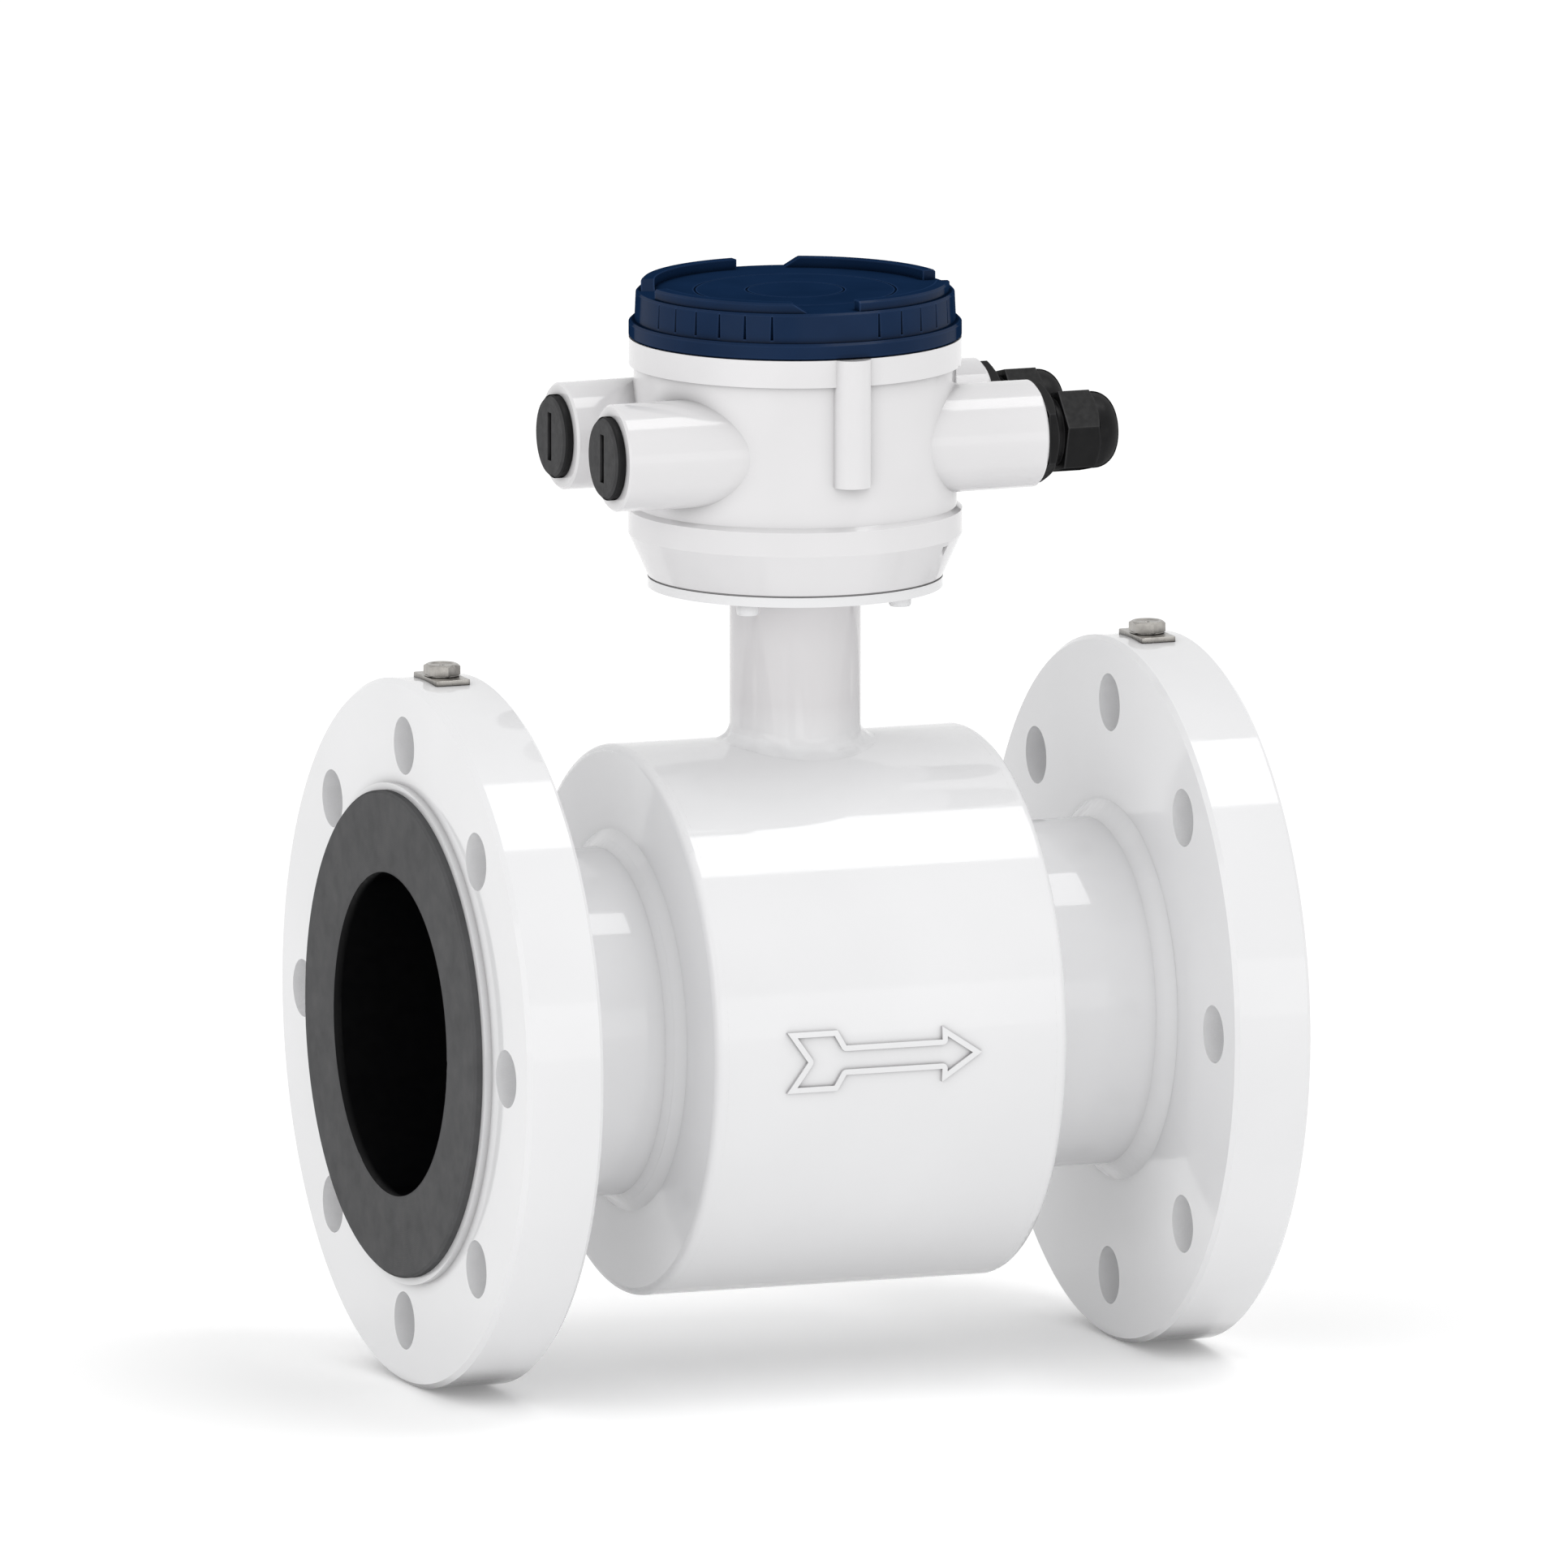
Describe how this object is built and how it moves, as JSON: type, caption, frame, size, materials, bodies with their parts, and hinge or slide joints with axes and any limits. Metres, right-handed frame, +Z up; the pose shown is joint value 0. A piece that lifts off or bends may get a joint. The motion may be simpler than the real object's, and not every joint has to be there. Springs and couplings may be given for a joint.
{
  "type": "electromagnetic flow meter",
  "caption": "Flanged electromagnetic flow meter: lined measuring tube and coil housing between bolt flanges, round converter head with screw lid, cable glands and blanking plugs.",
  "frame": {"origin": "where the pipe axis crosses the converter head's axis, in the middle of the coil housing", "axes": "+X is the direction of flow along the pipe axis, +Z runs up through the neck to the lid, -Y is the front, where the flow arrow is"},
  "size_m": [0.268, 0.22, 0.3384],
  "materials": {
    "sensor_paint": "gloss white enamel on steel, slightly orange-peeled",
    "head_paint": "gloss white powder coat on die-cast aluminium",
    "lid_paint": "semi-gloss navy powder coat",
    "liner_rubber": "matt black hard rubber, face ground",
    "seal_rubber": "matt black",
    "gland_plastic": "moulded black polyamide, satin",
    "plug_plastic": "moulded dark grey polyamide, satin",
    "plated_steel": "nickel-plated steel",
    "electrode_steel": "polished stainless steel",
    "magnet_iron": "grey phosphated iron",
    "coil_copper": "varnished copper winding",
    "white_plastic": "natural white plastic",
    "sleeve_plastic": "grey insulating sleeve",
    "module_plastic": "potted black module",
    "board_laminate": "green solder resist",
    "terminal_plastic": "moulded grey polyamide"
  },
  "bodies": {
    "meter_body": {"outlet_flange": "sensor_paint", "inlet_flange": "sensor_paint", "measuring_tube": "sensor_paint", "liner": "liner_rubber", "housing_barrel": "sensor_paint", "outlet_end_plate": "sensor_paint", "inlet_end_plate": "sensor_paint", "upper_pole_shoe": "magnet_iron", "lower_pole_shoe": "magnet_iron", "upper_coil": "coil_copper", "lower_coil": "coil_copper", "return_band": "magnet_iron", "core_screws": "plated_steel", "front_electrode": "electrode_steel", "rear_electrode": "electrode_steel", "electrode_bushes": "white_plastic", "electrode_washers": "plated_steel", "electrode_nuts": "plated_steel", "neck_tube": "sensor_paint", "base_plate": "sensor_paint", "base_gasket": "seal_rubber", "base_screws": "plated_steel", "lead_bundle": "sleeve_plastic", "converter_housing": "head_paint", "lock_screw": "plated_steel", "electronics_module": "module_plastic", "board_spacers": "white_plastic", "terminal_board": "board_laminate", "board_screws": "plated_steel", "signal_terminals": "terminal_plastic", "power_terminals": "terminal_plastic", "front_gland_washer": "seal_rubber", "rear_gland_washer": "seal_rubber", "front_gland_body": "gland_plastic", "rear_gland_body": "gland_plastic", "front_seal_insert": "seal_rubber", "rear_seal_insert": "seal_rubber", "inlet_earth_plate": "plated_steel", "outlet_earth_plate": "plated_steel"},
    "lid_seal": {"lid_seal": "seal_rubber"},
    "lid": {"lid": "lid_paint"},
    "front_clamping_ring": {"front_clamping_ring": "gland_plastic"},
    "front_dome_nut": {"front_dome_nut": "gland_plastic"},
    "front_plug_seal": {"front_plug_seal": "seal_rubber"},
    "front_blanking_plug": {"front_blanking_plug": "plug_plastic"},
    "rear_clamping_ring": {"rear_clamping_ring": "gland_plastic"},
    "rear_dome_nut": {"rear_dome_nut": "gland_plastic"},
    "rear_plug_seal": {"rear_plug_seal": "seal_rubber"},
    "rear_blanking_plug": {"rear_blanking_plug": "plug_plastic"},
    "inlet_earth_washer": {"inlet_earth_washer": "plated_steel"},
    "inlet_earth_bolt": {"inlet_earth_bolt": "plated_steel"},
    "outlet_earth_washer": {"outlet_earth_washer": "plated_steel"},
    "outlet_earth_bolt": {"outlet_earth_bolt": "plated_steel"}
  },
  "joints": [
    {"name": "lid_travel", "type": "slide", "parent": "meter_body", "child": "lid_seal", "axis": [0, 0, 1], "range_m": [0, 0.0105]},
    {"name": "lid_turn", "type": "hinge", "parent": "lid_seal", "child": "lid", "pos_m": [0, 0, 0.211], "axis": [0, 0, 1], "range_deg": [0, 1261]},
    {"name": "front_nut_travel", "type": "slide", "parent": "meter_body", "child": "front_clamping_ring", "axis": [1, 0, 0], "range_m": [0, 0.0075]},
    {"name": "front_nut_turn", "type": "hinge", "parent": "front_clamping_ring", "child": "front_dome_nut", "pos_m": [0.0812, -0.02315, 0.1799], "axis": [1, 0, 0], "range_deg": [0, 1801]},
    {"name": "front_plug_travel", "type": "slide", "parent": "meter_body", "child": "front_plug_seal", "axis": [-1, 0, 0], "range_m": [0, 0.0105]},
    {"name": "front_plug_turn", "type": "hinge", "parent": "front_plug_seal", "child": "front_blanking_plug", "pos_m": [-0.0692, -0.02315, 0.1799], "axis": [-1, 0, 0], "range_deg": [0, 2521]},
    {"name": "rear_nut_travel", "type": "slide", "parent": "meter_body", "child": "rear_clamping_ring", "axis": [1, 0, 0], "range_m": [0, 0.0075]},
    {"name": "rear_nut_turn", "type": "hinge", "parent": "rear_clamping_ring", "child": "rear_dome_nut", "pos_m": [0.0812, 0.02315, 0.1799], "axis": [1, 0, 0], "range_deg": [0, 1801]},
    {"name": "rear_plug_travel", "type": "slide", "parent": "meter_body", "child": "rear_plug_seal", "axis": [-1, 0, 0], "range_m": [0, 0.0105]},
    {"name": "rear_plug_turn", "type": "hinge", "parent": "rear_plug_seal", "child": "rear_blanking_plug", "pos_m": [-0.0692, 0.02315, 0.1799], "axis": [-1, 0, 0], "range_deg": [0, 2521]},
    {"name": "inlet_earth_bolt_travel", "type": "slide", "parent": "meter_body", "child": "inlet_earth_washer", "axis": [0, 0, 1], "range_m": [0, 0.006]},
    {"name": "inlet_earth_bolt_turn", "type": "hinge", "parent": "inlet_earth_washer", "child": "inlet_earth_bolt", "pos_m": [-0.1165, 0, 0.112], "axis": [0, 0, 1], "range_deg": [0, 2161]},
    {"name": "outlet_earth_bolt_travel", "type": "slide", "parent": "meter_body", "child": "outlet_earth_washer", "axis": [0, 0, 1], "range_m": [0, 0.006]},
    {"name": "outlet_earth_bolt_turn", "type": "hinge", "parent": "outlet_earth_washer", "child": "outlet_earth_bolt", "pos_m": [0.1165, 0, 0.112], "axis": [0, 0, 1], "range_deg": [0, 2161]}
  ],
  "couplings": [
    {"joint": "lid_turn", "follows": "lid_travel", "rad_per_m": 2094.4},
    {"joint": "front_nut_turn", "follows": "front_nut_travel", "rad_per_m": 4188.8},
    {"joint": "front_plug_turn", "follows": "front_plug_travel", "rad_per_m": 4188.8},
    {"joint": "rear_nut_turn", "follows": "rear_nut_travel", "rad_per_m": 4188.8},
    {"joint": "rear_plug_turn", "follows": "rear_plug_travel", "rad_per_m": 4188.8},
    {"joint": "inlet_earth_bolt_turn", "follows": "inlet_earth_bolt_travel", "rad_per_m": 6283.2},
    {"joint": "outlet_earth_bolt_turn", "follows": "outlet_earth_bolt_travel", "rad_per_m": 6283.2}
  ]
}
